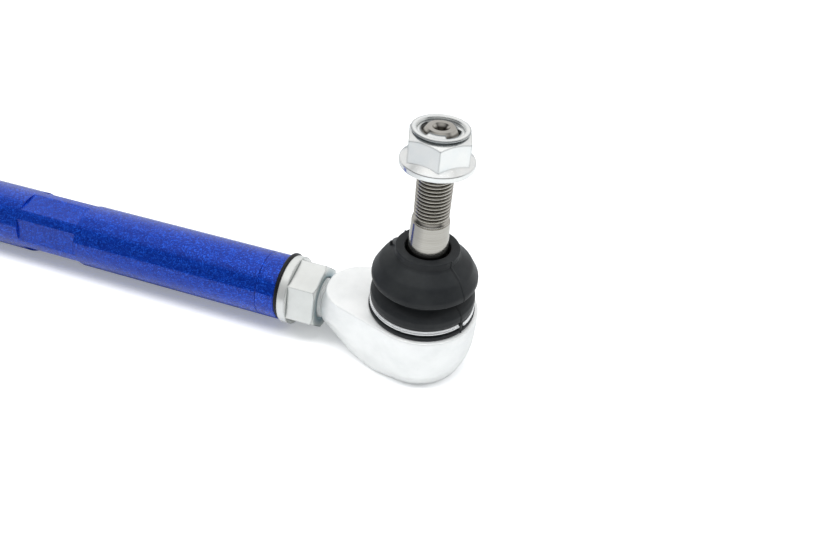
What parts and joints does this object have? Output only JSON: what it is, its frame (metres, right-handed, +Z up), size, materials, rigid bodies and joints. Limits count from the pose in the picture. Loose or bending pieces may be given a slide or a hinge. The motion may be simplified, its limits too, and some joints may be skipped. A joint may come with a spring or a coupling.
{
  "type": "adjustable ball joint link",
  "caption": "Straight tube link with a sealed ball joint and threaded stud at each end, set to length by turning the tube between its jam nuts.",
  "frame": {"origin": "midway between the two studs, on the plane that both housings stand on", "axes": "+X along the tube towards the right end, +Z up the studs, +Y across"},
  "size_m": [0.413, 0.049, 0.1123],
  "materials": {
    "blue_paint": "gloss metallic paint with fine flake",
    "forged_zinc": "bright zinc plate over a shot-blasted forging",
    "zinc_plate": "bright zinc plate over turned steel",
    "nut_zinc": "zinc plate, slightly dull",
    "stud_steel": "turned and rolled steel, oiled",
    "spring_steel": "dark spring steel",
    "clip_wire": "bright drawn wire",
    "bearing_plastic": "natural acetal",
    "boot_rubber": "satin moulded rubber",
    "seal_rubber": "satin rubber"
  },
  "bodies": {
    "right_housing": {"housing_right": "forged_zinc", "cover_plate_right": "zinc_plate", "spring_washer_right": "spring_steel", "boot_clip_right": "clip_wire"},
    "right_cup": {"bearing_cup_right": "bearing_plastic", "boot_right": "boot_rubber"},
    "right_neck": {"boot_neck_ring_right": "spring_steel"},
    "right_stud": {"ball_stud_right": "stud_steel", "lock_nut_right": "nut_zinc", "lock_ring_right": "spring_steel"},
    "right_seal": {"seal_ring_right": "seal_rubber"},
    "left_housing": {"housing_left": "forged_zinc", "cover_plate_left": "zinc_plate", "spring_washer_left": "spring_steel", "boot_clip_left": "clip_wire"},
    "left_cup": {"bearing_cup_left": "bearing_plastic", "boot_left": "boot_rubber"},
    "left_neck": {"boot_neck_ring_left": "spring_steel"},
    "left_stud": {"ball_stud_left": "stud_steel", "lock_nut_left": "nut_zinc", "lock_ring_left": "spring_steel"},
    "left_seal": {"seal_ring_left": "seal_rubber"},
    "tube": {"tube": "blue_paint", "tube_insert_right": "blue_paint", "tube_insert_left": "blue_paint", "jam_nut_right": "zinc_plate", "jam_nut_left": "zinc_plate"}
  },
  "joints": [
    {"name": "right_thread_travel", "type": "slide", "parent": "right_housing", "child": "right_seal", "axis": [-1, 0, 0], "range_m": [-0.0015, 0.015]},
    {"name": "tube_turn", "type": "hinge", "parent": "right_seal", "child": "tube", "pos_m": [0, 0, 0.018], "axis": [-1, 0, 0], "range_deg": [-361, 3601]},
    {"name": "left_thread_turn", "type": "hinge", "parent": "tube", "child": "left_seal", "pos_m": [0, 0, 0.018], "axis": [-1, 0, 0], "range_deg": [-3601, 361]},
    {"name": "left_thread_travel", "type": "slide", "parent": "left_seal", "child": "left_housing", "axis": [-1, 0, 0], "range_m": [-0.0016, 0.0151]},
    {"name": "right_swing_direction", "type": "hinge", "parent": "right_housing", "child": "right_cup", "pos_m": [0.182, 0, 0.018], "axis": [0, 0, 1], "continuous": true},
    {"name": "right_swing", "type": "hinge", "parent": "right_cup", "child": "right_neck", "pos_m": [0.182, 0, 0.018], "axis": [0, 1, 0], "range_deg": [-20, 20], "deforming": ["boot_right"]},
    {"name": "right_stud_spin", "type": "hinge", "parent": "right_neck", "child": "right_stud", "pos_m": [0.182, 0, 0.018], "axis": [0, 0, 1], "continuous": true},
    {"name": "left_swing_direction", "type": "hinge", "parent": "left_housing", "child": "left_cup", "pos_m": [-0.182, 0, 0.018], "axis": [0, 0, 1], "continuous": true},
    {"name": "left_swing", "type": "hinge", "parent": "left_cup", "child": "left_neck", "pos_m": [-0.182, 0, 0.018], "axis": [0, -1, 0], "range_deg": [-20, 20], "deforming": ["boot_left"]},
    {"name": "left_stud_spin", "type": "hinge", "parent": "left_neck", "child": "left_stud", "pos_m": [-0.182, 0, 0.018], "axis": [0, 0, 1], "continuous": true}
  ],
  "couplings": [
    {"joint": "tube_turn", "follows": "right_thread_travel", "rad_per_m": 4188.8},
    {"joint": "left_thread_turn", "follows": "right_thread_travel", "rad_per_m": -4188.8},
    {"joint": "left_thread_travel", "follows": "right_thread_travel", "ratio": 1}
  ]
}
